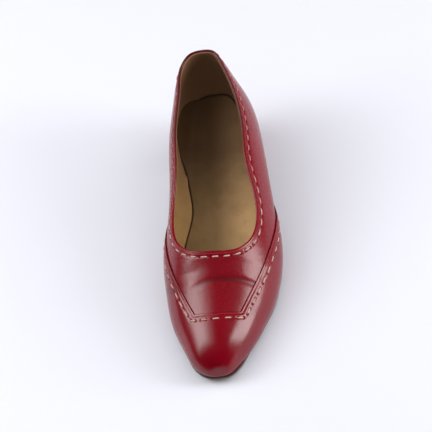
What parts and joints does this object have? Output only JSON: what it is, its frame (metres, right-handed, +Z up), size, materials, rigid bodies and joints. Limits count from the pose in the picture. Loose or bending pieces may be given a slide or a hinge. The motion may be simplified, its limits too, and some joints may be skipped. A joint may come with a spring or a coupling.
{
  "type": "low-heeled court shoe",
  "caption": "Woman's left leather court shoe with a low block heel, an open collar, a soft square toe and a wing-shaped toe panel lapped over the vamp.",
  "frame": {"origin": "middle of the shoe's bounding box, on the floor that the sole stands on", "axes": "+Z up, -Y towards the toe, +X towards the outer side of the foot"},
  "size_m": [0.0882, 0.2482, 0.0874],
  "materials": {
    "upper_leather": "polished deep red calf leather with a tan lining",
    "panel_leather": "polished deep red calf leather with pale saddle stitches",
    "sock_leather": "matt tan leather, worn darker at the heel",
    "sole_leather": "dark stained leather edge",
    "heel_cover": "red leather over the heel block",
    "lift_rubber": "matt black rubber"
  },
  "bodies": {
    "root": {"upper": "upper_leather", "toe_panel": "panel_leather", "insole": "sock_leather", "outsole": "sole_leather", "heel": "heel_cover", "top_lift": "lift_rubber"}
  },
  "joints": []
}
